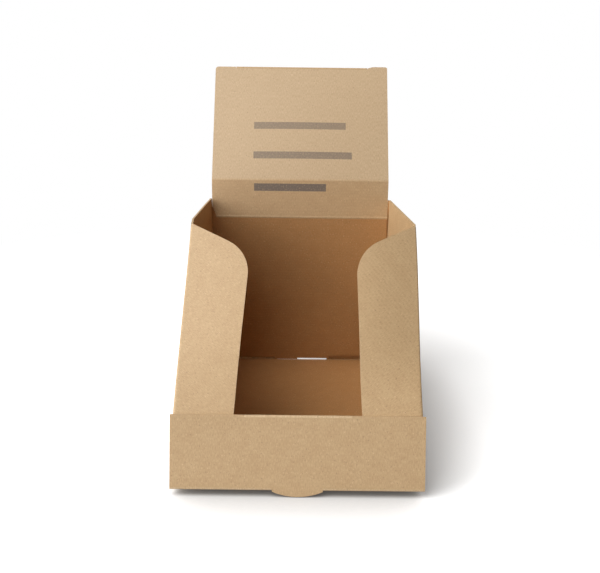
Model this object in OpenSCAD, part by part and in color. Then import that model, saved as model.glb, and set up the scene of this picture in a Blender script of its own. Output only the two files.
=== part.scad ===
// Counter display box folded from one sheet of kraft board. A tray with raked wings, a low
// front band and a back wall carries a lid that stands up behind it as a header. Millimetres.
// X runs to the right, Y to the back and Z up from the table.

/* [Board] */
// Thickness of the kraft board
board_t = 1.2; // [0.8:0.1:2]
// Gap left at a crease that bends
crease_gap = 0.3; // [0.2:0.05:0.5]

/* [Tray] */
// Width over the side walls
tray_w = 148; // [110:1:200]
// Depth of the floor from the front crease to the back wall's outer face
tray_d = 190; // [150:1:260]
// Height of the side walls' level top edge
side_h = 143.5; // [125:0.5:180]
// Height of the lid's hinge crease, on top of the back wall
back_h = 129; // [100:0.5:175]
// Gap between the back wall and the right side wall
corner_gap = 1; // [0.5:0.1:2]

/* [Front band] */
// Length of the band up its own slope
band_len = 45; // [30:1:60]
// Angle that the band leans back
band_lean = 17; // [5:1:25]
// How far each end of the band stands past the side wall
band_over = 1.2; // [0.5:0.1:3]
// Width of the half-moon thumb tab under the band
thumb_w = 30; // [20:1:45]
// Depth of the thumb tab, which lifts the front crease off the table
thumb_drop = 3; // [1:0.5:5]
// Gap between each wing's foot and the ply rolled over the band's top edge
roll_gap = 6; // [2:0.5:10]
// Length of the rolled ply and of the wings' feet, down behind the band
roll_len = 30; // [15:1:35]

/* [Wings] */
// Set-back of the wings' top corners from the front crease
shoulder_y = 94; // [60:1:110]
// Width of a wing at the band
wing_foot_w = 36; // [25:1:38]
// Width of a wing at the foot of its shoulder curve
wing_top_w = 40; // [28:1:50]
// Fall of the shoulder from the outer corner
shoulder_slope = 29; // [10:1:45]
// Radius of the shoulder curve
shoulder_r = 27; // [10:1:30]

/* [Header lid] */
// Length of the neck between the hinge crease and the bend
neck_len = 29.5; // [15:0.5:45]
// Angle that the neck leans back
neck_lean = 8; // [5:1:25]
// Length of the header panel above the bend
header_len = 98.5; // [70:0.5:130]
// Angle that the header panel leans back
header_lean = 27; // [8:1:35]
// Gap between the lid and each side wall
lid_clear = 0.6; // [0.4:0.1:1.5]
// Width of the relief cut at the foot of the neck
relief_w = 3.5; // [1:0.5:6]
// Height of the relief cut
relief_h = 10; // [5:1:14]

/* [Tuck flap] */
// Length of the tuck flap
tuck_len = 28; // [18:1:40]
// Angle that the flap is folded back from the header's plane
tuck_fold = 96; // [85:1:96]
// Radius of the flap's free corners
tuck_r = 12; // [4:1:16]
// Width of the slit at each end of the flap's crease
slit_w = 17; // [8:1:25]
// How far the lid stands past the crease at a slit
slit_rise = 1.5; // [0.8:0.1:3]

/* [Back corner slots] */
// Distance from each side wall's outer face to the outer slot beside it
slot_edge = 14; // [6:1:20]
// Inner end of the left slot, from the middle of the wall
left_slot_x = -21; // [-30:1:-10]
// Height of the left slot
left_slot_h = 2.2; // [1:0.1:5]
// Left end of the slit that lets light through, from the middle of the wall
light_slit_x = -1; // [-8:1:8]
// Width of the slit
light_slit_w = 28; // [10:1:30]
// Height of the slit
light_slit_h = 1.3; // [0.8:0.1:2]
// Height of the right slot, which starts where the slit ends
right_slot_h = 4; // [1:0.1:8]
// Height of the floor's two tabs, turned up behind the back wall
back_tab_h = 12; // [8:1:25]
// How far each tab covers past its slot
back_tab_lap = 2; // [1:0.5:4]

/* [Glue tab] */
// Width of the tab that the right wall turns behind the back wall
glue_tab_w = 24; // [12:1:40]
// Height of the tab's lower end above the table
glue_tab_foot = 15; // [13.5:0.5:40]
// Distance of the tab's upper end below the hinge crease
glue_tab_top = 1.5; // [1.5:0.5:30]
// Slope of the tab's two ends
glue_tab_slope = 15; // [5:1:30]

/* [Hidden] */
$fn = 48;

kraft = "#c4a178";
arc_steps = 16;
// Step of a wing behind the raked edge that it is folded from
fold_step = 0.2;
nose_steps = 8;
half_w = tray_w / 2;

// Front crease, lifted by the thumb tab, and the wings' lower and upper fold points [y, z]
crease_z = thumb_drop * cos(band_lean) + board_t * sin(band_lean);
wing_low = [
    band_len * sin(band_lean) + board_t * cos(band_lean),
    crease_z + band_len * cos(band_lean) - board_t * sin(band_lean)
];
wing_high = [shoulder_y, side_h];
wing_rise = wing_high - wing_low;
wing_len = norm(wing_rise);
wing_lean = atan2(wing_rise[0], wing_rise[1]);

// Mid-plane of the band at its top edge [y, z]
band_mid = [
    band_len * sin(band_lean) + board_t / 2 * cos(band_lean),
    crease_z + band_len * cos(band_lean) - board_t / 2 * sin(band_lean)
];

// Slots along the foot of the back wall: left end, right end and height of each
light_end = light_slit_x + light_slit_w;
slot_left = [slot_edge - half_w, left_slot_x, left_slot_h];
slot_light = [light_slit_x, light_end, light_slit_h];
slot_right = [light_end, half_w - slot_edge, right_slot_h];

// Lid width and the three crease axes [y, z]
lid_w = tray_w - 2 * board_t - 2 * lid_clear;
hinge = [tray_d - board_t / 2, back_h];
bend = hinge + neck_len * [sin(neck_lean), cos(neck_lean)];
tuck_axis = bend + header_len * [sin(header_lean), cos(header_lean)];
tuck_lean = header_lean + tuck_fold;
round_end = board_t / 2 + crease_gap;

// The origin lies under the middle of the whole part's depth
thumb_y = -thumb_drop * sin(band_lean);
tuck_y = tuck_axis[0] + tuck_len * sin(tuck_lean) - board_t / 2 * cos(tuck_lean);
mid_y = (thumb_y + tuck_y) / 2;

// A flat outline (x across, y up the slope) raised into a board. Its outer face passes
// through the foot [y, z] and leans back, and the board lies behind that face.
module leaning_board(foot, lean, skip = 0, thick = board_t) {
    translate([0, foot[0], foot[1]])
        rotate([-lean, 0, 0])
            translate([0, skip + thick, 0])
                rotate([90, 0, 0])
                    linear_extrude(thick) children();
}

// A side profile (y across, z up) raised into a board that starts at x
module profile_board(x, width) {
    translate([x, 0, 0])
        rotate([90, 0, 90])
            linear_extrude(width) children();
}

// The floor slopes from the lifted front crease down to the back wall
module floor_panel() {
    profile_board(-half_w, tray_w)
        polygon([
            [board_t / 2, crease_z], [tray_d, 0],
            [tray_d, board_t], [board_t / 2, crease_z + board_t]
        ]);
}

// One side wall: raked along the fold of the wing, level on top, with its back edge at an end
module side_wall(x, end) {
    profile_board(x, board_t)
        polygon([
            [board_t / 2, crease_z], band_mid, wing_high, [end, side_h], [end, 0]
        ]);
}

// Outline of the right wing, with x inward from its fold and y up from the band. The shoulder
// falls straight from the outer corner, then turns on an arc into the inner edge. Its fold and
// its lower end are seated in the wall and the band by half a board.
module wing_outline() {
    turn = 90 - shoulder_slope;
    seat = board_t / 2;
    inset = wing_top_w - shoulder_r * (1 - cos(turn));
    arc_foot = inset * tan(shoulder_slope) + shoulder_r * sin(turn);
    arc = [
        for (i = [0 : arc_steps])
            let (a = turn * (1 - i / arc_steps))
            [
                wing_top_w - shoulder_r * (1 - cos(a)),
                wing_len - arc_foot + shoulder_r * sin(a)
            ]
    ];
    taper = (wing_top_w - wing_foot_w) / (wing_len - arc_foot);
    polygon(concat(
        [[seat, -seat], [seat, wing_len - seat * tan(shoulder_slope)]], arc,
        [[wing_foot_w - seat * taper, -seat]]
    ));
}

// One wing, a step behind the wall's raked edge, and its foot, which runs down behind the band
// and is let into it by half a board
module wing() {
    leaning_board(wing_low, wing_lean, fold_step)
        translate([half_w, 0]) mirror([1, 0]) wing_outline();
    leaning_board([0, crease_z], band_lean, board_t / 2, board_t * 3 / 2)
        translate([half_w - wing_foot_w + fold_step, band_len - roll_len])
            square([wing_foot_w - fold_step, roll_len]);
}

// The band, its thumb tab and the ply rolled over its top edge
module front_band() {
    thumb_r = (thumb_w * thumb_w / 4 + thumb_drop * thumb_drop) / (2 * thumb_drop);
    band_w = tray_w + 2 * band_over;
    roll_w = tray_w - 2 * (wing_foot_w + roll_gap);
    leaning_board([0, crease_z], band_lean) {
        translate([-band_w / 2, 0]) square([band_w, band_len]);
        intersection() {
            translate([0, thumb_r - thumb_drop]) circle(thumb_r, $fn = 160);
            translate([-thumb_w / 2, -thumb_drop]) square([thumb_w, 2 * thumb_drop]);
        }
    }
    leaning_board([0, crease_z], band_lean, board_t / 2, board_t * 3 / 2)
        translate([-roll_w / 2, band_len - roll_len]) square([roll_w, roll_len]);
}

// The back wall's left point, left standing where the lid's relief was cut out of it
module relief_point() {
    foot_x = relief_w - lid_w / 2 - 2 * crease_gap;
    wall_x = board_t - half_w;
    seat_x = board_t / 2 - half_w;
    foot_z = back_h - round_end - board_t;
    tip_z = back_h + (foot_x - wall_x) * relief_h / relief_w;
    translate([0, tray_d, 0])
        rotate([90, 0, 0])
            linear_extrude(board_t)
                polygon([
                    [seat_x, foot_z], [foot_x, foot_z], [foot_x, back_h],
                    [wall_x, tip_z], [seat_x, tip_z]
                ]);
}

// The back wall, slotted along its foot, stands clear of the right side wall
module back_wall() {
    relief_point();
    difference() {
        translate([board_t / 2 - half_w, tray_d - board_t, 0])
            cube([
                tray_w - board_t * 3 / 2 - corner_gap, board_t, back_h - round_end
            ]);
        for (slot = [slot_left, slot_light, slot_right])
            translate([slot[0], tray_d - 2 * board_t, board_t])
                cube([slot[1] - slot[0], 3 * board_t, slot[2]]);
    }
    for (slot = [slot_left, slot_right])
        translate([slot[0] - back_tab_lap, tray_d, 0])
            cube([slot[1] - slot[0] + 2 * back_tab_lap, board_t, back_tab_h]);
}

// The right wall's glue tab, let into the back wall by half a board
module glue_tab() {
    fall = glue_tab_w * tan(glue_tab_slope);
    translate([half_w, tray_d + board_t, 0])
        rotate([90, 0, 0])
            linear_extrude(board_t * 3 / 2)
                polygon([
                    [0, glue_tab_foot], [-glue_tab_w, glue_tab_foot + fall],
                    [-glue_tab_w, back_h - glue_tab_top - fall], [0, back_h - glue_tab_top]
                ]);
}

module tray() {
    color(kraft) {
        floor_panel();
        back_wall();
        glue_tab();
        front_band();
        side_wall(-half_w, tray_d);
        side_wall(half_w - board_t, tray_d + board_t);
        wing();
        mirror([1, 0, 0]) wing();
    }
}

// Direction up a lean and the outward normal of its front face [y, z]
function up_lean(lean) = [sin(lean), cos(lean)];
function lean_face(lean) = [-cos(lean), sin(lean)];

// Half-round nose of a board at a crease, from its front face round to its back face [y, z]
function crease_nose(axis, lean) = [
    for (i = [0 : nose_steps])
        let (a = 180 * i / nose_steps)
        axis + board_t / 2 * (cos(a) * lean_face(lean) - sin(a) * up_lean(lean))
];

// A board on the mid-plane of a crease (x across, y up the lean)
module creased_board(axis, lean, thick = board_t) {
    translate([0, axis[0], axis[1]])
        rotate([-lean, 0, 0])
            translate([0, thick / 2, 0])
                rotate([90, 0, 0])
                    linear_extrude(thick) children();
}

// Neck and header panel, mitred at the bend. The neck's left foot is cut back to clear the
// side wall, and the panel's two top corners stand past the crease at the slits.
module lid() {
    mitre_lean = (neck_lean + header_lean) / 2;
    mitre = lean_face(mitre_lean) * board_t / 2 / cos(header_lean - mitre_lean);
    top = bend + (header_len + slit_rise) * up_lean(header_lean);
    face = lean_face(header_lean) * board_t / 2;
    cut_w = lid_w - 2 * slit_w;
    color(kraft) difference() {
        profile_board(-lid_w / 2, lid_w)
            polygon(concat(
                crease_nose(hinge, neck_lean), [bend - mitre, top - face, top + face, bend + mitre]
            ));
        creased_board(hinge, neck_lean, 3 * board_t)
            polygon([
                [relief_w - lid_w / 2, -board_t], [relief_w - lid_w / 2, 0],
                [-lid_w / 2, relief_h], [-lid_w, relief_h], [-lid_w, -board_t]
            ]);
        creased_board(bend, header_lean, 3 * board_t)
            translate([-cut_w / 2, header_len - round_end]) square([cut_w, 2 * round_end + slit_rise]);
    }
}

// Outline of the flap, up from its crease. It hangs from the crease between the slits. Past
// them its shoulders start further out, and its free corners are rounded.
module tuck_outline(hang_w) {
    shoulder = slit_rise + crease_gap + board_t / 2;
    translate([-hang_w / 2, 0]) square([hang_w, tuck_len]);
    translate([-lid_w / 2, shoulder]) square([lid_w, tuck_len - tuck_r - shoulder]);
    translate([tuck_r - lid_w / 2, shoulder]) square([lid_w - 2 * tuck_r, tuck_len - shoulder]);
    for (side = [-1, 1])
        translate([side * (lid_w / 2 - tuck_r), tuck_len - tuck_r]) circle(tuck_r);
}

module tuck_flap() {
    hang_w = lid_w - 2 * slit_w - 2 * crease_gap;
    face = lean_face(tuck_lean) * board_t / 2;
    root = tuck_axis + board_t * up_lean(tuck_lean);
    color(kraft) {
        creased_board(tuck_axis, tuck_lean) tuck_outline(hang_w);
        profile_board(-hang_w / 2, hang_w)
            polygon(concat(crease_nose(tuck_axis, tuck_lean), [root - face, root + face]));
    }
}

translate([0, -mid_y, 0]) tray();
translate([0, -mid_y, 0]) lid();
translate([0, -mid_y, 0]) tuck_flap();
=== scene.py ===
"""Looks of a folded kraft board display box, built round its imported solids.

Sizes are in millimetres and degrees, in the part source's frame: x to the right, y back from the
front crease, z up from the table. They become metres in the row's frame where a mesh is made.
"""

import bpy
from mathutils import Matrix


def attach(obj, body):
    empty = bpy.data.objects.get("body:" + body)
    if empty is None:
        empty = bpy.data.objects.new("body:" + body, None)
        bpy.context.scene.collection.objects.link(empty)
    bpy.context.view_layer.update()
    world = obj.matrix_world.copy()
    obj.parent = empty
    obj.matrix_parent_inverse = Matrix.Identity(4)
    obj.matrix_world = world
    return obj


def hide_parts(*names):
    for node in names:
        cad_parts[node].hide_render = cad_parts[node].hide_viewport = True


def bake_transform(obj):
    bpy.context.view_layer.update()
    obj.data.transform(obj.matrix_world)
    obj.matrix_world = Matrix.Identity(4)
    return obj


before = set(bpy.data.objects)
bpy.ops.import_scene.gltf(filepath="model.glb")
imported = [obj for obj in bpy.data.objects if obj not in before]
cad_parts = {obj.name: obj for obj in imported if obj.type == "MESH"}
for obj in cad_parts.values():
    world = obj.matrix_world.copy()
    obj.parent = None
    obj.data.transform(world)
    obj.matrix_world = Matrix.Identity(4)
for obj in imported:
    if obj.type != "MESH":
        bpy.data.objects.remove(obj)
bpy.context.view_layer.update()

import bpy
import numpy as np
from mathutils import Matrix

# The box's sizes, as the part's source has them. A pair of numbers in an array is [y, z].
MID_Y = 130.578057
BOARD, CREASE_GAP = 1.2, 0.3
HALF_W, DEPTH, SIDE_H, BACK_H = 74.0, 190.0, 143.5, 129.0
CORNER_GAP = 1.0
BAND_LEN, BAND_LEAN, BAND_HALF, CREASE_Z = 45.0, 17.0, 75.2, 3.21976
THUMB_HALF, THUMB_DROP = 15.0, 3.0
ROLL_HALF, ROLL_LEN = 32.0, 30.0
WING_LOW, WING_HIGH = np.array([14.3043, 45.9026]), np.array([94.0, 143.5])
WING_FOOT_W, WING_TOP_W, SHOULDER_FALL, SHOULDER_R = 36.0, 40.0, 29.0, 27.0
HINGE, NECK_LEN, NECK_LEAN = np.array([189.4, 129.0]), 29.5, 8.0
HEADER_LEN, HEADER_LEAN, LID_HALF = 98.5, 27.0, 72.2
RELIEF_W, RELIEF_H = 3.5, 10.0
SLIT_W, SLIT_RISE, CREASE_CLEAR = 17.0, 1.5, CREASE_GAP + BOARD / 2
TUCK_AXIS, TUCK_LEAN, TUCK_LEN, TUCK_R = np.array([238.223671, 245.977051]), 123.0, 28.0, 12.0
# Each slot along the back wall's foot: left end, right end, height
BACK_SLOTS = ((-60.0, -21.0, 2.2), (-1.0, 27.0, 1.3), (27.0, 60.0, 4.0))
BACK_TAB_H, BACK_TAB_LAP = 12.0, 2.0
GLUE_TAB_W, GLUE_TAB_FOOT, GLUE_TAB_TOP, GLUE_TAB_SLOPE = 24.0, 15.0, 1.5, 15.0

# Outer radius of a fold and radius of its middle, and the width over which a cut's edge steps
FOLD_R = 1.5
FOLD_MID = FOLD_R - BOARD / 2
STEP = 0.04
# Clearance between panels of the tray, and of a wing's foot from what is round it, and the least
# height of a side wall where the band cuts it low
SLIP, FOOT_CLEAR, WALL_LEAST = 0.1, 0.3, 0.3
# How far the back wall's right end stops short, its tabs stand off it, and their root reaches in
BACK_SHORT, BACK_TAB_OFF, BACK_TAB_ROOT = 0.4, 2.0, 3.2
# The lid's right edge, and its gap to the back wall at the relief's foot, how much of that gap the
# hinge's crease leaves open, and the gap along the relief's slope
LID_RIGHT = 71.7
RELIEF_FOOT_GAP, RELIEF_OPEN, RELIEF_GAP = 0.5, 0.05, 0.03
# Rise of the lid's left and right ear past the crease, the ramp up to it, and its corner's radius
EAR_RISE, EAR_RAMP, EAR_R = (0.4, 1.5), 5.0, 2.5
# Length over which the lid bends, and how far a board runs on past a crease that moves
BEND_SPREAD, CREASE_LAP = 3.0, 0.35
# Half the width of a moving crease, how far it stands from the board's middle, half of its bend,
# and the place on the flat sheet from which it takes its grain
CREASE_HALF, CREASE_PROUD, CREASE_BEND, CREASE_GRAIN = 1.7, 0.72, 0.5, 5000

# How the board has set. Bows of a side wall, with the distance from the rake over which it fades,
# of the floor, the back wall and the lid, and the curl of the band's ends, from an x over a reach.
WALL_BOW, WALL_BOW_FADE = 0.9, 30.0
FLOOR_SAG, BACK_BOW, LID_BOW = 0.5, 0.8, 1.6
BAND_CURL, CURL_FROM, CURL_REACH = 0.5, 40.0, 36.0
# How far the left wall is pulled in at its back, over what depth, and above what height
WALL_PULL, PULL_REACH, PULL_LOW = 0.35, 40.0, 60.0
# How far each wing's fold leans right at its top, where along a wall that starts to fade, and the
# length over which it fades on the left
RACK = {-1: 1.3, 1: 3.2}
RACK_END, LEFT_FADE = 96.0, 11.5
# How far each wing swings forward of its plane at the shoulder, and curls back at its free edge,
# and the share of its length over which the swing grows
WING_SPRING = {-1: (5.0, 0.5), 1: (8.0, 2.5)}
SPRING_RAMP = 0.45

# Print on the header: left end, right end, height of the middle above the hinge, ink's darkness
INK_BARS = ((-39.0, 37.0, 76.0, 0.62), (-39.0, 42.0, 50.5, 0.66), (-38.0, 21.0, 24.0, 0.86))
INK_HALF, INK_SOFT = 3.2, 0.4
FLUTE_PITCH = 2.4

# The camera, in metres, degrees and pixels of the photograph's frame
IMAGE_W, CAMERA_FOCUS, SENSOR_W = 600, 600.0, 36.0
CAMERA_PLACE = (-0.0005, -0.4290, 0.2268)
CAMERA_PITCH, CAMERA_YAW, CAMERA_ROLL = 17.94, 0.13, 0.70
# The lamps' distance from the point that they face, and that point's height, in metres
LAMP_AWAY, LAMP_AIM = 2.6, 0.1
# The floor as it is seen: its own glow, its gain, and the way in which its contact shade looks,
# tilted back because that shade falls to the front
FLOOR_GLOW, FLOOR_GAIN = 0.52, 1.35
FLOOR_LOOK = (-0.15, 0.6, 0.79)

# The rake of the wings: its run [y, z], its lean and its length
RAKE = WING_HIGH - WING_LOW
RAKE_LEAN, RAKE_LEN = np.degrees(np.arctan2(*RAKE)), np.hypot(*RAKE)
# The floor's slope, its turn up into the band, how far before the crease that turn starts, and the
# lengths from the floor's back end to the turn's start and end
FLOOR_SLOPE = np.arctan2(CREASE_Z, DEPTH)
FRONT_TURN = np.pi / 2 + np.radians(BAND_LEAN) - FLOOR_SLOPE
SET_BACK = FOLD_R * np.tan(FRONT_TURN / 2)
FLOOR_FLAT = DEPTH / np.cos(FLOOR_SLOPE) - SET_BACK
FLOOR_END = FLOOR_FLAT + FOLD_MID * FRONT_TURN
# The hinge's left end, and half the length of the crease that the tuck flap hangs from
HINGE_LEFT = RELIEF_W - LID_HALF
TUCK_HANG = LID_HALF - SLIT_W - CREASE_GAP

# Numbers of a board's faces. The fourth marks front faces that take a paler liner, a painted highlight
# along folds.
OUTER, EDGE, INNER, PAINTED_HIGHLIGHT = range(4)


def up(lean):
    """Direction [y, z] up a board that leans back by an angle from upright."""
    a = np.radians(lean)
    return np.array([np.sin(a), np.cos(a)])


def front(lean):
    """Normal [y, z] of the front face of a board that leans back by an angle."""
    a = np.radians(lean)
    return np.array([-np.cos(a), np.sin(a)])


def ease(t):
    """Smooth step: 0 below 0, 1 above 1, and 3t2 - 2t3 between."""
    t = np.clip(t, 0, 1)
    return t * t * (3 - 2 * t)


def in_space(x, yz):
    """Points from a grid of x and a grid of [y, z] pairs."""
    return np.concatenate([np.broadcast_to(x[..., None], yz.shape[:-1] + (1,)), yz], -1)


def stepped(*edges, fine=()):
    """Sorted columns for an outline that steps: both sides of every edge, and the fine places."""
    both = np.array([[e - STEP, e + STEP] for e in edges]).ravel()
    return np.unique(np.concatenate([both, np.asarray(fine, float)]))


def rows_between(rows, low, high):
    """A grid of rows by columns: every row value, held between each column's two ends."""
    return np.clip(rows[:, None], low, high)


def fold_rows(steps=7):
    """Angles of a quarter fold, in radians."""
    return np.linspace(0, np.pi / 2, steps)


def to_row(points):
    """Metres in the row's frame from millimetres in the source's frame."""
    return (points - np.array([0, MID_Y, 0])) / 1000


def grid_cells(at):
    """Quads between the neighbours of a grid of point numbers."""
    return np.stack([at[:-1, :-1], at[1:, :-1], at[1:, 1:], at[:-1, 1:]], -1).reshape(-1, 4)


def board(mid, face, sheet, place=0, painted_highlight=None):
    """A board of full thickness from its mid surface.

    The grid of mid points moved half a board out along its normals is the front, and moved half a
    board in it is the back. A strip round the border closes the cut edge. The face's UV is the
    place on the flat sheet (along the flutes, across them), shifted so that no two panels share
    their grain. The edge's UV is (across the flutes, through the board). All UVs are in metres.
    Faces are numbered OUTER, EDGE and INNER; where a mask of the grid's points says, the front
    takes the fourth number instead, for a painted highlight along a fold.
    """
    n, m = mid.shape[:2]
    face = np.broadcast_to(face, mid.shape)
    turn = np.cross(mid[-1, 0] - mid[0, 0] + mid[-1, -1] - mid[0, -1],
                    mid[0, -1] - mid[0, 0] + mid[-1, -1] - mid[-1, 0])
    if turn @ face[n // 2, m // 2] < 0:
        mid, face, sheet = mid[::-1], face[::-1], sheet[::-1]
        painted_highlight = None if painted_highlight is None else painted_highlight[::-1]
    points = np.concatenate([(mid + face * BOARD / 2).reshape(-1, 3),
                             (mid - face * BOARD / 2).reshape(-1, 3)])
    at = np.arange(n * m).reshape(n, m)
    cells = grid_cells(at)
    flat = sheet.reshape(-1, 2) + np.array([0.37, 0.53]) * 1000 * place
    rim = np.concatenate([at[:, 0], at[-1, 1:], at[-2::-1, -1], at[0, -2:0:-1]])
    after = np.roll(rim, -1)
    edges = np.stack([after, rim, rim + n * m, after + n * m], -1)
    across = sheet.reshape(-1, 2)[:, 1]
    through = np.array([BOARD, BOARD, 0, 0])
    edge_uv = np.stack(np.broadcast_arrays(across[edges % (n * m)], through), -1)
    quads = np.concatenate([cells, cells[:, ::-1] + n * m, edges])
    uv = np.concatenate([flat[cells], flat[cells[:, ::-1]], edge_uv])
    kind = np.repeat([OUTER, INNER, EDGE], [len(cells), len(cells), len(edges)])
    # Masked front faces take the fourth number, a paler liner: painted highlight along a fold
    if painted_highlight is not None:
        wear_and_highlight = np.broadcast_to(painted_highlight, (n, m)).ravel()[cells].all(1)
        kind[:len(cells)][wear_and_highlight] = PAINTED_HIGHLIGHT
    return points, quads, uv / 1000, kind


def weld(points, quads, uv, kind, shell):
    """Merges the points of each board that coincide, and drops the faces that this closes up.

    Points are numbered by their place to a tenth of a micron and their board. A quad with two
    equal neighbours becomes a triangle, and one with fewer than three points is left out.
    """
    key = np.concatenate([np.round(points * 1e7), shell[:, None]], 1)
    _, first, same = np.unique(key, axis=0, return_index=True, return_inverse=True)
    quads = same.ravel()[quads]
    keep = quads != np.roll(quads, -1, 1)
    sound = (keep.sum(1) > 2) & (quads[:, 0] != quads[:, 2]) & (quads[:, 1] != quads[:, 3])
    faces = [q[k].tolist() for q, k in zip(quads[sound], keep[sound])]
    return points[first], faces, uv[sound][keep[sound]], kind[sound]


def new_object(name, points, faces, materials):
    """An object at the origin with a mesh of these points and faces, and its materials."""
    mesh = bpy.data.meshes.new(name)
    mesh.from_pydata(points.tolist(), [], faces)
    for material in materials:
        mesh.materials.append(material)
    thing = bpy.data.objects.new(name, mesh)
    bpy.context.scene.collection.objects.link(thing)
    return thing


def dress(mesh, uv, sharp):
    """Gives a mesh its UV map in corner order, and smooth faces up to a sharp angle in degrees."""
    mesh.uv_layers.new(name="sheet").data.foreach_set("uv", uv.ravel())
    mesh.polygons.foreach_set("use_smooth", np.ones(len(mesh.polygons), bool))
    mesh.update()
    mesh.set_sharp_from_angle(angle=np.radians(sharp))


def make_piece(name, boards, body, materials):
    """One object of closed boards. It rides on a body and stands for that body's one CAD node."""
    sizes = [len(b[0]) for b in boards]
    points, uv, kind = (np.concatenate([b[i] for b in boards]) for i in (0, 2, 3))
    quads = np.concatenate([b[1] + c for b, c in zip(boards, np.cumsum([0] + sizes))])
    shell = np.repeat(np.arange(len(boards)), sizes)
    points, faces, uv, kind = weld(to_row(points), quads, uv, kind, shell)
    piece = new_object(name, points, faces, materials)
    piece.data.polygons.foreach_set("material_index", kind)
    dress(piece.data, uv, sharp=28)
    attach(piece, body)
    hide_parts(body)


def rack(side, z):
    """How far a wing's fold leans to the right at a height: a smooth step from the band's top up."""
    return RACK[side] * ease((z - WING_LOW[1]) / RAKE[1])


def side_wall(side, place):
    """A side wall: over each y it rises from the floor's edge round a quarter fold to its top.

    The top is the lowest of the level edge, the rake, which keeps a fold's radius behind the wing's
    face, and a line that keeps behind the band. The wall bows out by a sine over its area, most
    below half its height, faded out by a smooth step towards the rake. It leans with the wing's
    fold and straightens towards the back. The left wall does so soon and is pulled in at its back,
    so that the lid can pass it. The right wall's inside is given the outer liner's paler tone:
    painted light from the lamps on the left.
    """
    foot = WING_LOW - FOLD_R * front(RAKE_LEAN)
    band_in = (BOARD + SLIP) / np.cos(np.radians(BAND_LEAN))
    end = DEPTH + BOARD - FOLD_R if side > 0 else DEPTH - FOLD_R
    y = np.concatenate([np.linspace(2.2, 15, 12), np.linspace(16.5, RACK_END, 45),
                        np.linspace(RACK_END + 2, end, 30)])
    top = np.minimum(SIDE_H, foot[1] + (y - foot[0]) * RAKE[1] / RAKE[0])
    top = np.minimum(top, CREASE_Z + (y - band_in) / np.tan(np.radians(BAND_LEAN)))
    low = CREASE_Z * (1 - y / DEPTH) + FOLD_R
    top = np.maximum(top, low + WALL_LEAST)
    a = fold_rows()[:, None]
    t = np.linspace(0, 1, 26)[1:, None]
    x = np.concatenate([HALF_W - FOLD_R + FOLD_MID * np.sin(a) + 0 * y, HALF_W - BOARD / 2 + 0 * t * y])
    z = np.concatenate([low - FOLD_MID * np.cos(a), low + t * (top - low)])
    y = np.broadcast_to(y, x.shape)
    behind = -((y - foot[0]) * front(RAKE_LEAN)[0] + (z - foot[1]) * front(RAKE_LEAN)[1])
    bow = WALL_BOW * np.sin(np.pi * np.clip(z / SIDE_H, 0, 1) ** 0.8) * np.sin(np.pi * y / DEPTH)
    bow = bow * ease(behind / WALL_BOW_FADE)
    if side < 0:
        bow = bow - WALL_PULL * ease((y - DEPTH) / PULL_REACH + 1) * ease(z / PULL_LOW - 1)
        fade = ease((RACK_END - y) / LEFT_FADE + 1)
    else:
        fade = np.clip((DEPTH - y) / (DEPTH - RACK_END), 0, 1)
    nx = np.concatenate([np.sin(a) + 0 * y[:len(a)], 1 + 0 * y[len(a):]])
    nz = np.concatenate([-np.cos(a) + 0 * y[:len(a)], 0 * y[len(a):]])
    mid = np.stack([side * (x + bow * nx) + rack(side, z) * fade, y, z], -1)
    face = np.stack([side * nx, 0 * nx, nz], -1)
    points, quads, uv, kind = board(mid, face, np.stack([z, y], -1), place)
    # The right wall's inside takes the outer liner's paler tone: painted light from the lamps on the left
    if side > 0:
        kind[kind == INNER] = OUTER
    return points, quads, uv, kind


def wing(side, place):
    """A wing and the fold that joins it to its wall.

    Columns run up the rake. Each one turns a quarter fold out of the wall and crosses the wing to
    its free edge, whose distance in from the wall follows the die line: straight from the band,
    an arc at the shoulder, then straight to the outer corner. The board swings forward in
    proportion to the way in from the fold, less a cube of it, more with height, and leans with
    the fold.
    """
    fall_tan = np.tan(np.radians(SHOULDER_FALL))
    turn = np.radians(90 - SHOULDER_FALL)
    inset = WING_TOP_W - SHOULDER_R * (1 - np.cos(turn))
    arc_foot = RAKE_LEN - inset * fall_tan - SHOULDER_R * np.sin(turn)
    straight = np.linspace(-0.5, arc_foot, 30)
    a = np.linspace(0, turn, 22)[1:]
    fall = np.linspace(inset, FOLD_R + 0.05, 18)[1:]
    s = np.concatenate([straight, arc_foot + SHOULDER_R * np.sin(a), RAKE_LEN - fall * fall_tan])
    edge = np.concatenate([
        WING_FOOT_W + (WING_TOP_W - WING_FOOT_W) * straight / arc_foot,
        WING_TOP_W - SHOULDER_R * (1 - np.cos(a)), fall])
    bend = fold_rows()[:, None]
    t = np.linspace(0, 1, 18)[1:, None]
    x = np.concatenate([HALF_W - FOLD_R + FOLD_MID * np.cos(bend) + 0 * s,
                        HALF_W - FOLD_R - t * (edge - FOLD_R)])
    out = np.concatenate([-FOLD_R + FOLD_MID * np.sin(bend) + 0 * s, -BOARD / 2 + 0 * t * s])
    inward = np.clip((HALF_W - FOLD_R - x) / WING_TOP_W, 0, 1)
    swing, curl = WING_SPRING[side]
    out = out + (swing * inward - curl * inward ** 3) * ease(s / (SPRING_RAMP * RAKE_LEN))
    yz = WING_LOW + s[None, :, None] * up(RAKE_LEAN) + out[..., None] * front(RAKE_LEAN)
    mid = in_space(side * x + rack(side, yz[..., 1]), yz)
    nx = np.concatenate([np.cos(bend) + 0 * s, 0 * t * s])
    nf = np.concatenate([np.sin(bend) + 0 * s, 1 + 0 * t * s])
    face = in_space(side * nx, nf[..., None] * front(RAKE_LEAN))
    run = np.concatenate([bend * FOLD_MID + 0 * s, bend[-1] * FOLD_MID + t * (edge - FOLD_R)])
    k, c = up(RAKE_LEAN)
    return board(mid, face, np.stack([s * c + run * k, s * k - run * c], -1), place)


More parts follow.
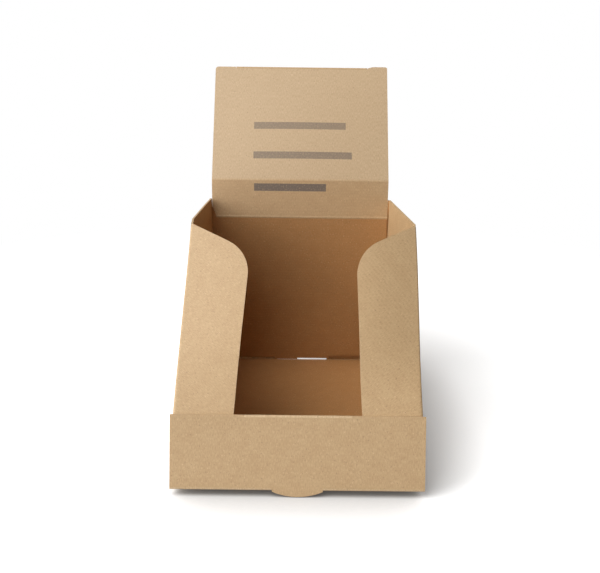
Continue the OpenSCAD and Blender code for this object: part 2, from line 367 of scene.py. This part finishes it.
def wing_foot(side, place):
    """A wing's foot: a flat board behind the band, from the wing's lower end down."""
    x = np.linspace(HALF_W - BOARD - FOOT_CLEAR, HALF_W - WING_FOOT_W, 8)[:, None]
    run = np.linspace(BAND_LEN - ROLL_LEN, BAND_LEN - FOOT_CLEAR, 10)
    yz = np.array([0, CREASE_Z]) + run[:, None] * up(BAND_LEAN) - 1.5 * BOARD * front(BAND_LEAN)
    mid = in_space(side * x + 0 * run, np.broadcast_to(yz, (len(x),) + yz.shape))
    face = np.array([0, *front(BAND_LEAN)])
    return board(mid, face, np.stack([x + 0 * run, run + 0 * x], -1), place)


def thumb_edge(x):
    """Depth of the half-moon thumb tab at x: an arc through both ends and the lowest point."""
    radius = (THUMB_HALF ** 2 + THUMB_DROP ** 2) / (2 * THUMB_DROP)
    inside = np.clip(np.abs(x), 0, THUMB_HALF)
    return np.where(np.abs(x) < THUMB_HALF, np.sqrt(radius ** 2 - inside ** 2) - radius + THUMB_DROP, 0)


def thumb_columns(count):
    """Columns across the thumb tab, half a millimetre in from its ends."""
    return np.linspace(0.5 - THUMB_HALF, THUMB_HALF - 0.5, count)


def floor_path(s):
    """Mid line of the floor at a length from its back end, and its under normal, both [y, z].

    It runs forward up a slight slope, then turns on an arc up into the band's plane.
    """
    ahead = np.array([-np.cos(FLOOR_SLOPE), np.sin(FLOOR_SLOPE)])
    under = np.array([-np.sin(FLOOR_SLOPE), -np.cos(FLOOR_SLOPE)])
    bend = np.clip((s - FLOOR_FLAT) / FOLD_MID, 0, FRONT_TURN)[..., None]
    start = np.array([DEPTH, 0]) - under * BOARD / 2
    centre = start + FLOOR_FLAT * ahead - under * FOLD_MID
    normal = np.cos(bend) * under + np.sin(bend) * ahead
    straight = start + np.minimum(s, FLOOR_FLAT)[..., None] * ahead
    return np.where(bend > 0, centre + FOLD_MID * normal, straight), normal


def floor_panel(place):
    """The floor, with the half-moon left where the thumb tab was cut out of it.

    It sags by a sine along its length times a cosine across it.
    """
    x = stepped(-THUMB_HALF, THUMB_HALF, fine=np.concatenate([
        np.linspace(-HALF_W + FOLD_R, HALF_W - FOLD_R, 41), thumb_columns(25)]))
    cut = FLOOR_FLAT + SET_BACK - np.maximum(thumb_edge(x), BOARD + 2 * SLIP)
    s = rows_between(np.concatenate([np.linspace(BOARD + SLIP, FLOOR_FLAT - 6, 50),
                                     np.linspace(FLOOR_FLAT - 5, FLOOR_FLAT, 10)]),
                     0, np.where(np.abs(x) < THUMB_HALF, cut, FLOOR_FLAT))
    yz, normal = floor_path(s)
    sag = FLOOR_SAG * np.sin(np.pi * np.clip(s / FLOOR_FLAT, 0, 1)) * np.cos(np.pi * x / 2 / HALF_W)
    yz = yz - (sag * (s < FLOOR_FLAT))[..., None] * normal
    x = np.broadcast_to(x, s.shape)
    return board(in_space(x, yz), in_space(0 * x, normal), np.stack([x, s], -1), place)


def carried(x, s, yz, normal, place, painted_highlight):
    """A board whose profile of [y, z] points and normals along s is carried straight across x."""
    shape = (len(x),) + yz.shape
    mid = in_space(x + 0 * s, np.broadcast_to(yz, shape))
    face = in_space(0 * x + 0 * s, np.broadcast_to(normal, shape))
    return board(mid, face, np.stack([x + 0 * s, s + 0 * x], -1), place, painted_highlight=painted_highlight[None, :])


def front_fold(left, right, place):
    """The fold between the floor and the band: the floor path's arc, carried straight across."""
    s = np.linspace(FLOOR_FLAT - 0.2, FLOOR_END, 14)
    # The fold's arc takes the paler liner on its front: painted highlight along the band's foot
    return carried(np.linspace(left, right, 24)[:, None], s, *floor_path(s), place, s > FLOOR_FLAT + 0.4)


def front_band(place):
    """The band with its thumb tab. Its top edge stands lower where the rolled ply goes over it.

    Its ends curl forward by a smooth step in x times one in height.
    """
    x = stepped(-THUMB_HALF, THUMB_HALF, -ROLL_HALF, ROLL_HALF, fine=np.concatenate([
        np.linspace(-BAND_HALF, BAND_HALF, 61), thumb_columns(33)]))
    low = np.where(np.abs(x) < THUMB_HALF, -thumb_edge(x), SET_BACK)
    high = np.where(np.abs(x) < ROLL_HALF, BAND_LEN - BOARD, BAND_LEN)
    run = rows_between(np.concatenate([np.linspace(-THUMB_DROP, SET_BACK, 8),
                                       np.linspace(SET_BACK, BAND_LEN, 28)[1:]]), low, high)
    x = np.broadcast_to(x, run.shape)
    out = BAND_CURL * ease((np.abs(x) - CURL_FROM) / CURL_REACH) * ease(run / BAND_LEN) - BOARD / 2
    yz = np.array([0, CREASE_Z]) + run[..., None] * up(BAND_LEAN) + out[..., None] * front(BAND_LEAN)
    face = np.array([0, *front(BAND_LEAN)])
    return board(in_space(x, yz), face, np.stack([x, run + DEPTH], -1), place)


def rolled_ply(place):
    """The ply rolled over the band's top edge: a half turn, then straight down behind the band."""
    r = BOARD / 2
    half_turn = np.pi * r
    s = np.concatenate([np.linspace(0, half_turn, 13), half_turn + np.linspace(0, ROLL_LEN, 12)[1:]])
    a = np.clip(s / r, 0, np.pi)[:, None]
    down = np.maximum(s - half_turn, 0)[:, None]
    centre = np.array([0, CREASE_Z]) + (BAND_LEN - BOARD) * up(BAND_LEAN) - BOARD * front(BAND_LEAN)
    normal = np.cos(a) * front(BAND_LEAN) + np.sin(a) * up(BAND_LEAN)
    yz = centre + r * normal - down * up(BAND_LEAN)
    x = np.linspace(-ROLL_HALF, ROLL_HALF, 25)[:, None]
    # The half turn takes the paler liner on its front: painted highlight along the band's rolled top edge
    return carried(x, s, yz, normal, place, s < half_turn)


def back_wall(place):
    """The back wall, folded out of the left wall round a quarter turn, slotted along its foot.

    The fold runs up to the wall's top, and beside it stands the point that the lid's relief was
    cut from, whose edge falls straight towards the hinge crease and ends short of it. The wall
    bows back by a sine of its height times a cosine across it.
    """
    right = HALF_W - BOARD - CORNER_GAP - BACK_SHORT
    edges = sorted({e for left, end, _ in BACK_SLOTS for e in (left, end)})
    point, corner = HINGE_LEFT - RELIEF_FOOT_GAP, -LID_HALF - RELIEF_GAP
    x = stepped(point, corner, *edges, fine=np.concatenate([
        np.linspace(FOLD_R - HALF_W, point - SLIP, 8), np.linspace(point + SLIP, right, 50)]))
    foot = np.full_like(x, BOARD + SLIP)
    for left, end, slot_h in BACK_SLOTS:
        foot = np.where((x > left) & (x < end), BOARD + slot_h, foot)
    a = fold_rows()[:-1]
    y = np.concatenate([DEPTH - FOLD_R + FOLD_MID * np.sin(a), np.full(len(x), DEPTH - BOARD / 2)])
    ny = np.concatenate([np.sin(a), np.ones(len(x))])
    nx = np.concatenate([-np.cos(a), np.zeros(len(x))])
    low = np.concatenate([np.full(len(a), BOARD + SLIP), foot])
    x = np.concatenate([FOLD_R - HALF_W - FOLD_MID * np.cos(a), x])
    high = np.where(x < point, BACK_H + (RELIEF_W + corner - x) * RELIEF_H / RELIEF_W,
                    BACK_H - CREASE_CLEAR)
    high[x < corner] = SIDE_H
    z = rows_between(np.concatenate([np.linspace(1, 6, 14), np.linspace(7, BACK_H - CREASE_CLEAR, 40),
                                     np.linspace(BACK_H, SIDE_H, 12)]), low, high)
    bow = BACK_BOW * np.sin(np.pi * z / BACK_H) * np.cos(np.pi * x / 2 / HALF_W)
    mid = np.stack(np.broadcast_arrays(x, y + bow, z), -1)
    face = np.stack(np.broadcast_arrays(nx, ny, 0 * z), -1)
    return board(mid, face, np.stack(np.broadcast_arrays(x, z), -1), place)


def back_tab(left, right, place):
    """A tab of the floor: a quarter turn up, sprung off behind the back wall, then straight up."""
    a = fold_rows()
    x = np.linspace(left - BACK_TAB_LAP, right + BACK_TAB_LAP, 12)[:, None]
    rise = np.linspace(0, BACK_TAB_H - FOLD_R, 8)[1:]
    out = np.concatenate([[-BACK_TAB_ROOT], FOLD_MID * np.sin(a) - FOLD_MID, 0 * rise])
    y = DEPTH + BACK_TAB_OFF + BOARD / 2 + out
    z = np.concatenate([[BOARD / 2], FOLD_R - FOLD_MID * np.cos(a), FOLD_R + rise])
    ny = np.concatenate([[0], np.sin(a), 1 + 0 * rise])
    nz = np.concatenate([[-1], -np.cos(a), 0 * rise])
    mid = np.stack(np.broadcast_arrays(x, y, z), -1)
    face = np.stack(np.broadcast_arrays(0 * x, ny, nz), -1)
    return board(mid, face, np.stack(np.broadcast_arrays(x, z), -1), place)


def glue_tab(place):
    """The right wall's glue tab: a quarter turn out of the wall, then flat behind the back wall.

    The turn runs the wall's full height, up to the lid's edge. The tab's two ends slope in from it.
    """
    a = fold_rows()
    beside = HALF_W - LID_RIGHT - SLIP
    reach = np.concatenate([[beside, beside + STEP], np.linspace(beside, GLUE_TAB_W, 10)[1:]])
    x = np.concatenate([HALF_W - FOLD_R + FOLD_MID * np.cos(a), HALF_W - reach])
    y = np.concatenate([DEPTH + BOARD - FOLD_R + FOLD_MID * np.sin(a), DEPTH + BOARD / 2 + 0 * reach])
    inset = (HALF_W - x) * np.tan(np.radians(GLUE_TAB_SLOPE))
    turning = np.arange(len(x)) <= len(a)
    low = np.where(turning, BOARD, GLUE_TAB_FOOT + inset)
    high = np.where(turning, SIDE_H, BACK_H - GLUE_TAB_TOP - inset)
    z = rows_between(np.linspace(0, SIDE_H, 60), low, high)
    nx = np.concatenate([np.cos(a), 0 * reach])
    ny = np.concatenate([np.sin(a), 1 + 0 * reach])
    mid = np.stack(np.broadcast_arrays(x, y, z), -1)
    face = np.stack(np.broadcast_arrays(nx, ny, 0 * z), -1)
    return board(mid, face, np.stack(np.broadcast_arrays(z, x), -1), place)


def lid_path(s):
    """Mid line of the lid at a length up from the hinge, and its front normal, both [y, z].

    Straight up the neck, then straight up the header, joined at the bend by a smooth step.
    """
    share = ease((s - NECK_LEN) / BEND_SPREAD + 0.5)[..., None]
    neck = HINGE + s[..., None] * up(NECK_LEAN)
    header = HINGE + NECK_LEN * up(NECK_LEAN) + (s - NECK_LEN)[..., None] * up(HEADER_LEAN)
    normal = front(NECK_LEAN) + share * (front(HEADER_LEAN) - front(NECK_LEAN))
    return neck + share * (header - neck), normal


def lid_board(place):
    """Neck and header in one sheet: relief cut at the left foot, ears past the crease at the slits.

    The ears start level with the crease and ramp up smoothly, the left one less, to an arc at the
    corner. The header bows forward slightly from side to side, and the middle of its top edge
    stands a crease's clearance below the flap's axis.
    """
    ear = LID_HALF - SLIT_W
    corner = LID_HALF - EAR_R * (1 - np.sin(np.linspace(0, np.pi / 2, 8)))
    ramp = ear + np.linspace(0, EAR_RAMP, 8)
    x = np.unique(np.minimum(LID_RIGHT, stepped(-ear, ear, fine=np.concatenate([
        np.linspace(-LID_HALF, LID_HALF, 61), np.linspace(-LID_HALF, HINGE_LEFT, 8),
        corner, -corner, ramp, -ramp]))))
    low = np.maximum(-CREASE_LAP, RELIEF_H * (HINGE_LEFT - x) / RELIEF_W)
    whole = NECK_LEN + HEADER_LEN
    lift = ease((np.abs(x) - ear) / EAR_RAMP)
    rise = (np.abs(x) > ear) * (CREASE_CLEAR + CREASE_PROUD / 2 * (1 - lift))
    rise = rise + lift * np.where(x < 0, *EAR_RISE)
    past = np.clip(np.abs(x) - LID_HALF + EAR_R, 0, EAR_R)
    high = whole - CREASE_CLEAR + rise - EAR_R + np.sqrt(EAR_R ** 2 - past ** 2)
    s = rows_between(np.concatenate([
        np.linspace(-CREASE_LAP, NECK_LEN - 2, 24), np.linspace(NECK_LEN - 1.6, NECK_LEN + 1.6, 11),
        np.linspace(NECK_LEN + 2, whole - 2, 44), np.linspace(whole - 1.5, whole + SLIT_RISE, 8)]),
        low, high)
    x = np.broadcast_to(x, s.shape)
    yz, normal = lid_path(s)
    bow = LID_BOW * np.cos(np.pi * x / 2 / LID_HALF) * np.sin(np.pi * np.clip(s / whole, 0, 1))
    yz = yz + bow[..., None] * normal
    return board(in_space(x, yz), in_space(0 * x, normal), np.stack([x, s], -1), place)


def tuck_board(place):
    """The tuck flap: it hangs from the crease between the slits, and its free corners are arcs."""
    corner = LID_HALF - TUCK_R
    arc = corner + TUCK_R * np.sin(np.linspace(0, np.pi / 2, 14))
    x = stepped(-TUCK_HANG, TUCK_HANG, fine=np.concatenate([np.linspace(-corner, corner, 41), arc, -arc]))
    past = np.clip((np.abs(x) - corner) / TUCK_R, 0, 1)
    high = TUCK_LEN - TUCK_R * (1 - np.sqrt(1 - past ** 2))
    low = np.where(np.abs(x) < TUCK_HANG, -CREASE_LAP, SLIT_RISE + CREASE_CLEAR)
    s = rows_between(np.concatenate([np.linspace(-CREASE_LAP, 2.6, 6), np.linspace(3, TUCK_LEN, 26)]),
                     low, high)
    x = np.broadcast_to(x, s.shape)
    yz = TUCK_AXIS + s[..., None] * up(TUCK_LEAN)
    return board(in_space(x, yz), np.array([0, *front(TUCK_LEAN)]), np.stack([x, s], -1), place)


def crease_strip(name, axis, lean, fold, ends, material):
    """The pressed board of a crease that moves, as a flat oval carried along the axis.

    The oval lies on the first board's plane and its far half is turned about the axis, smoothly,
    by the fold's angle.
    """
    a = np.linspace(0, 2 * np.pi, 33)[:-1]
    s, out = CREASE_HALF * np.cos(a), CREASE_PROUD * np.sin(a)
    turned = lean + fold * ease(s / BOARD + 0.5)
    yz = axis + (s * up(turned) + out * front(turned)).T
    x = np.linspace(*ends, 60)[:, None]
    points = to_row(in_space(x + 0 * a, np.broadcast_to(yz, (len(x),) + yz.shape)).reshape(-1, 3))
    at = np.arange(len(x) * len(a)).reshape(len(x), len(a))
    on = np.roll(at, -1, 1)
    sides = np.stack([at[:-1], on[:-1], on[1:], at[1:]], -1).reshape(-1, 4)
    strip = new_object(name, points, sides.tolist() + [at[0, ::-1].tolist(), at[-1].tolist()], [material])
    loops = np.zeros(len(strip.data.loops), np.int32)
    strip.data.loops.foreach_get("vertex_index", loops)
    sheet = np.stack(np.broadcast_arrays(x, s + CREASE_GRAIN), -1).reshape(-1, 2) / 1000
    dress(strip.data, sheet[loops], sharp=50)
    ahead = up(lean) + up(lean + fold)
    ahead = CREASE_BEND * ahead / np.linalg.norm(ahead)
    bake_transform(strip)


def linear(colour):
    """Linear RGBA of an sRGB hex colour."""
    s = np.array([int(colour[i:i + 2], 16) for i in (1, 3, 5)]) / 255
    return (*np.where(s > 0.04045, ((s + 0.055) / 1.055) ** 2.4, s / 12.92), 1.0)


def add(tree, kind, sockets=(), **settings):
    """Adds a node with its settings. A socket takes a plain value, or links an output to it.

    A Mix node's two colours are its sockets 6 and 7, and their mix is its output 2.
    """
    made = tree.nodes.new("ShaderNode" + kind)
    for name, value in settings.items():
        setattr(made, name, value)
    for name, value in dict(sockets).items():
        if isinstance(value, bpy.types.NodeSocket):
            tree.links.new(value, made.inputs[name])
        else:
            made.inputs[name].default_value = value
    return made


def new_material(name):
    """A material with its node tree and the shader that it starts with."""
    material = bpy.data.materials.new(name)
    material.use_nodes = True
    return material, material.node_tree, material.node_tree.nodes["Principled BSDF"]


def kraft_liner(name, dull, clear, bars=(), painted_light_tone=None, sheen=1.0):
    """Unbleached kraft liner, machine finished and uncoated, between a dull and a clear tone.

    The eye sees a matt brown with soft clouds a centimetre or so across, short fibres that lie
    across the flutes, a few dark and pale flecks, and faint ribs where the flutes show through.
    The printed one turns towards a paler tone above the lid's bend: painted light on the header,
    which catches more light than the neck.
    """
    material, tree, shader = new_material(name)
    sheet = add(tree, "TexCoord").outputs["UV"]
    across = add(tree, "SeparateXYZ", {"Vector": sheet})
    # Clouds about 9 mm across
    cloud = add(tree, "TexNoise", {"Vector": sheet, "Scale": 1 / 0.009, "Detail": 3.0, "Roughness": 0.55})
    tone = add(tree, "Mix", {0: cloud.outputs["Fac"], 6: linear(dull), 7: linear(clear)}, data_type="RGBA")
    # Above the lid's bend the tone turns paler: painted light on the header, which catches more light
    if painted_light_tone:
        painted_light_share = add(tree, "MapRange", {"Value": across.outputs["Y"], "From Min": (NECK_LEN - 0.5) / 1000,
                                      "From Max": (NECK_LEN + 1.5) / 1000, "To Max": 0.55})
        tone = add(tree, "Mix", {0: painted_light_share.outputs[0], 6: tone.outputs[2], 7: linear(painted_light_tone)},
                   data_type="RGBA")
    # Fibres are 2 to 3 mm long. Their real width of 0.03 mm is drawn 0.45 mm wide so that it shows.
    lay = add(tree, "Mapping", {"Vector": sheet, "Scale": (1 / 0.00045, 1 / 0.0024, 1.0)})
    fibre = add(tree, "TexNoise", {"Vector": lay.outputs[0], "Scale": 1.0, "Detail": 2.0, "Roughness": 0.6})
    # Flecks about 1 mm across, dark where the noise is high and pale where it is low
    fleck = add(tree, "TexNoise", {"Vector": sheet, "Scale": 1 / 0.0011, "Detail": 1.0})
    for noise, none, full, most, tint in ((fibre, 0.3, 0.7, 0.56, "#A07A4C"),
                                          (fleck, 0.65, 0.75, 0.45, "#7A5834"),
                                          (fleck, 0.35, 0.26, 0.42, "#E0C59A")):
        share = add(tree, "MapRange", {"Value": noise.outputs["Fac"], "From Min": none, "From Max": full,
                                       "To Max": most})
        tone = add(tree, "Mix", {0: share.outputs[0], 6: tone.outputs[2], 7: linear(tint)},
                   data_type="RGBA")
    colour = tone.outputs[2]
    for bar in bars:
        colour = ink_bar(tree, sheet, across, colour, *bar)
    # Flutes show through as ribs a few hundredths of a millimetre high, and fibres a tenth
    phase = add(tree, "Math", {0: across.outputs["Y"], 1: 2000 * np.pi / FLUTE_PITCH}, operation="MULTIPLY")
    rib = add(tree, "Math", {0: phase.outputs[0]}, operation="SINE")
    height = add(tree, "Math", {0: rib.outputs[0], 1: 0.00002}, operation="MULTIPLY")
    height = add(tree, "Math", {0: fibre.outputs["Fac"], 1: 0.00010, 2: height.outputs[0]},
                 operation="MULTIPLY_ADD")
    bump = add(tree, "Bump", {"Strength": 0.6, "Distance": 1.0, "Height": height.outputs[0]})
    tree.links.new(colour, shader.inputs["Base Color"])
    tree.links.new(bump.outputs[0], shader.inputs["Normal"])
    shader.inputs["Roughness"].default_value = 0.62
    shader.inputs["IOR"].default_value = 1.5
    shader.inputs["Specular IOR Level"].default_value = sheen
    return material


def ink_bar(tree, sheet, across, colour, left, right, middle, dark):
    """A plain bar of worn brown-black ink: its darkness, less where worn, inside the four edges."""
    wear_and_highlight = add(tree, "TexNoise", {"Vector": sheet, "Scale": 1 / 0.0012, "Detail": 2.0, "Roughness": 0.5})
    mask = add(tree, "MapRange", {"Value": wear_and_highlight.outputs["Fac"], "From Min": 0.33, "From Max": 0.47,
                                  "To Min": 0.72 * dark, "To Max": dark})
    for axis, centre, half in (("X", (left + right) / 2, (right - left) / 2), ("Y", middle, INK_HALF)):
        off = add(tree, "Math", {0: across.outputs[axis], 1: centre / 1000}, operation="SUBTRACT")
        off = add(tree, "Math", {0: off.outputs[0]}, operation="ABSOLUTE")
        inside = add(tree, "MapRange", {"Value": off.outputs[0], "From Min": (half - INK_SOFT) / 1000,
                                        "From Max": half / 1000, "To Min": 1.0, "To Max": 0.0})
        mask = add(tree, "Math", {0: mask.outputs[0], 1: inside.outputs[0]}, operation="MULTIPLY")
    return add(tree, "Mix", {0: mask.outputs[0], 6: colour, 7: linear("#3A2F2B")},
               data_type="RGBA").outputs[2]


def cut_board(name):
    """Die-cut edge of micro-flute board: two pale liners with the fluted medium between them.

    The eye sees a light line with faint darker cells where the cut crosses the flutes. The medium
    is a sine wave 0.3 mm to each side of the board's middle.
    """
    material, tree, shader = new_material(name)
    place = add(tree, "SeparateXYZ", {"Vector": add(tree, "TexCoord").outputs["UV"]})
    phase = add(tree, "Math", {0: place.outputs["X"], 1: 2000 * np.pi / FLUTE_PITCH}, operation="MULTIPLY")
    wave = add(tree, "Math", {0: phase.outputs[0]}, operation="SINE")
    wave = add(tree, "Math", {0: wave.outputs[0], 1: 0.00030, 2: BOARD / 2000}, operation="MULTIPLY_ADD")
    off = add(tree, "Math", {0: place.outputs["Y"], 1: wave.outputs[0]}, operation="SUBTRACT")
    off = add(tree, "Math", {0: off.outputs[0]}, operation="ABSOLUTE")
    medium = add(tree, "MapRange", {"Value": off.outputs[0], "From Min": 0.00010, "From Max": 0.00018,
                                    "To Min": 1.0, "To Max": 0.0})
    rim = add(tree, "Math", {0: place.outputs["Y"], 1: BOARD / 2000}, operation="SUBTRACT")
    rim = add(tree, "Math", {0: rim.outputs[0]}, operation="ABSOLUTE")
    liner = add(tree, "MapRange", {"Value": rim.outputs[0], "From Min": 0.00036, "From Max": 0.00042})
    paper = add(tree, "Math", {0: medium.outputs[0], 1: liner.outputs[0]}, operation="MAXIMUM")
    colour = add(tree, "Mix", {0: paper.outputs[0], 6: linear("#A98359"), 7: linear("#DCC29B")},
                 data_type="RGBA")
    tree.links.new(colour.outputs[2], shader.inputs["Base Color"])
    shader.inputs["Roughness"].default_value = 0.9
    return material


def seen_by(tree):
    """1 where the camera, a reflection or glass looks, and 0 for the light that falls on the box."""
    rays = add(tree, "LightPath").outputs
    either = add(tree, "Math", {0: rays["Is Camera Ray"], 1: rays["Is Glossy Ray"]}, operation="MAXIMUM")
    return add(tree, "Math", {0: either.outputs[0], 1: rays["Is Transmission Ray"]},
               operation="MAXIMUM").outputs[0]


def white_floor(name):
    """Seamless white paper: a matt white that keeps the box's soft shadow.

    As it is seen, it is over-exposed and glows a little, and close by the box it has a dark contact
    shade. Half a metre away it turns into the background's plain white, so that the two meet unseen.
    """
    material, tree, shader = new_material(name)
    shader.inputs["Base Color"].default_value = linear("#EDEDED")
    shader.inputs["Roughness"].default_value = 0.9
    shader.inputs["Specular IOR Level"].default_value = 0.0
    look = add(tree, "CombineXYZ", dict(zip("XYZ", FLOOR_LOOK)))
    clear = add(tree, "AmbientOcclusion", {"Distance": 0.06, "Normal": look.outputs[0]}, samples=24)
    clear = add(tree, "Math", {0: clear.outputs["AO"], 1: 1.2}, operation="POWER")
    tone = add(tree, "Mix", {0: clear.outputs[0], 6: linear("#332F28"), 7: (1, 1, 1, 1)}, data_type="RGBA")
    glow = add(tree, "Emission", {"Color": tone.outputs[2], "Strength": FLOOR_GLOW})
    bright = add(tree, "VectorMath", {0: tone.outputs[2], "Scale": FLOOR_GAIN}, operation="SCALE")
    bright = add(tree, "BsdfDiffuse", {"Color": bright.outputs[0]})
    near = add(tree, "AddShader", {0: bright.outputs[0], 1: glow.outputs[0]})
    away = add(tree, "VectorMath", {0: add(tree, "TexCoord").outputs["Object"]}, operation="LENGTH")
    away = add(tree, "MapRange", {"Value": away.outputs["Value"], "From Min": 0.35, "From Max": 0.65})
    white = add(tree, "Emission", {"Color": (1, 1, 1, 1), "Strength": 1.0})
    seen = add(tree, "MixShader", {0: away.outputs[0], 1: near.outputs[0], 2: white.outputs[0]})
    pick = add(tree, "MixShader", {0: seen_by(tree), 1: shader.outputs[0], 2: seen.outputs[0]})
    tree.links.new(pick.outputs[0], tree.nodes["Material Output"].inputs["Surface"])
    return material


def make_floor():
    """A level sheet under the box, far wider than the view: a flat grid in metres."""
    x, y = np.meshgrid(np.linspace(-6, 6, 5), np.linspace(-6, 6, 5), indexing="ij")
    points = np.stack([x, y, 0 * x - 0.0001], -1).reshape(-1, 3)
    cells = grid_cells(np.arange(x.size).reshape(x.shape))
    new_object("studio_floor", points, cells.tolist(), [white_floor("white_paper")])


def turn_to(thing, place, back, rise):
    """Places a lamp or camera: its z axis points back, and its y axis as near rise as it can."""
    right = np.cross(rise, back)
    right /= np.linalg.norm(right)
    top = np.cross(back, right)
    rows = np.stack([right, top, back, np.array(place)], 1).tolist()
    thing.matrix_world = Matrix(rows + [[0, 0, 0, 1]])


def make_lamp(name, azimuth, height, spread, level):
    """A round soft box, turned to the middle of the part.

    Azimuth is the angle round from the front towards the right, height the angle above the table
    and spread the angle that the lamp fills. Its power gives a light level on a surface that faces
    it: a disk gives its power over pi times the distance squared.
    """
    light = bpy.data.lights.new(name, "AREA")
    light.shape, light.size = "DISK", 2 * LAMP_AWAY * np.tan(np.radians(spread) / 2)
    light.energy = level * np.pi * LAMP_AWAY ** 2
    lamp = bpy.data.objects.new(name, light)
    bpy.context.scene.collection.objects.link(lamp)
    a, h = np.radians(azimuth), np.radians(height)
    away = np.array([np.sin(a) * np.cos(h), -np.cos(a) * np.cos(h), np.sin(h)])
    turn_to(lamp, LAMP_AWAY * away + np.array([0, 0, LAMP_AIM]), away, np.array([0.0, 0.0, 1.0]))


def make_camera():
    """The photograph's view: a normal lens, looking down at the box from the front."""
    pitch, yaw, roll = np.radians([CAMERA_PITCH, CAMERA_YAW, CAMERA_ROLL])
    ahead = np.array([np.sin(yaw) * np.cos(pitch), np.cos(yaw) * np.cos(pitch), -np.sin(pitch)])
    right = np.array([np.cos(yaw), -np.sin(yaw), 0.0])
    rise = np.cross(right, ahead)
    camera = bpy.data.objects.new("camera", bpy.data.cameras.new("camera"))
    camera.data.sensor_width = SENSOR_W
    camera.data.lens = SENSOR_W * CAMERA_FOCUS / IMAGE_W
    camera.data.clip_start = 0.01
    bpy.context.scene.collection.objects.link(camera)
    turn_to(camera, CAMERA_PLACE, -ahead, np.cos(roll) * rise - np.sin(roll) * right)
    bpy.context.scene.camera = camera


def make_world():
    """A surround that is white where it is seen, and gives no light of its own."""
    world = bpy.data.worlds.new("studio")
    world.use_nodes = True
    bpy.context.scene.world = world
    tree = world.node_tree
    dark = tree.nodes["Background"]
    dark.inputs["Strength"].default_value = 0.0
    white = add(tree, "Background", {"Color": (1, 1, 1, 1), "Strength": 1.0})
    pick = add(tree, "MixShader", {0: seen_by(tree), 1: dark.outputs[0], 2: white.outputs[0]})
    tree.links.new(pick.outputs[0], tree.nodes["World Output"].inputs["Surface"])


make_camera()
make_world()
make_floor()
make_lamp("low_lamp", azimuth=-72, height=20, spread=40, level=2.2)
make_lamp("high_lamp", azimuth=-76, height=62, spread=44, level=2.1)
make_lamp("front_lamp", azimuth=-20, height=20, spread=40, level=0.85)

liner = kraft_liner("kraft_outer_liner", "#BA986B", "#CFB083")
# A browner, more saturated liner for the tray's inside faces: painted shade of the box's interior
painted_shade_liner = kraft_liner("kraft_liner_painted_shade", "#B6834E", "#C79460", sheen=0.4)
# A paler liner for the band's foot fold and its rolled top edge: painted highlight
painted_highlight = kraft_liner("kraft_liner_painted_highlight", "#CDAF84", "#D8BC93")
# The printed liner's paler tone above the bend is painted light on the header
printed = kraft_liner("printed_kraft_liner", "#BB9768", "#CDAB7D", INK_BARS, painted_light_tone="#CEB897")
edge = cut_board("cut_board_edge")
make_piece("tray_board", [
    floor_panel(1), front_band(2), rolled_ply(3), back_wall(4),
    front_fold(-BAND_HALF, -THUMB_HALF, 15), front_fold(THUMB_HALF, BAND_HALF, 16),
    side_wall(-1, 5), side_wall(1, 6), wing(-1, 7), wing(1, 8), wing_foot(-1, 9), wing_foot(1, 10),
    back_tab(*BACK_SLOTS[0][:2], 11), back_tab(*BACK_SLOTS[2][:2], 12), glue_tab(13)],
    "tray", [liner, edge, painted_shade_liner, painted_highlight])
make_piece("lid_board", [lid_board(0)], "lid", [printed, edge, liner])
make_piece("tuck_board", [tuck_board(14)], "tuck_flap", [liner, edge, liner])
crease_strip("hinge_crease", HINGE, 0.0, NECK_LEAN,
             (HINGE_LEFT - RELIEF_FOOT_GAP + RELIEF_OPEN, LID_RIGHT), liner)
crease_strip("tuck_crease", TUCK_AXIS, HEADER_LEAN, TUCK_LEAN - HEADER_LEAN,
             (-TUCK_HANG, TUCK_HANG), liner)

bpy.context.scene.view_settings.view_transform = "Standard"
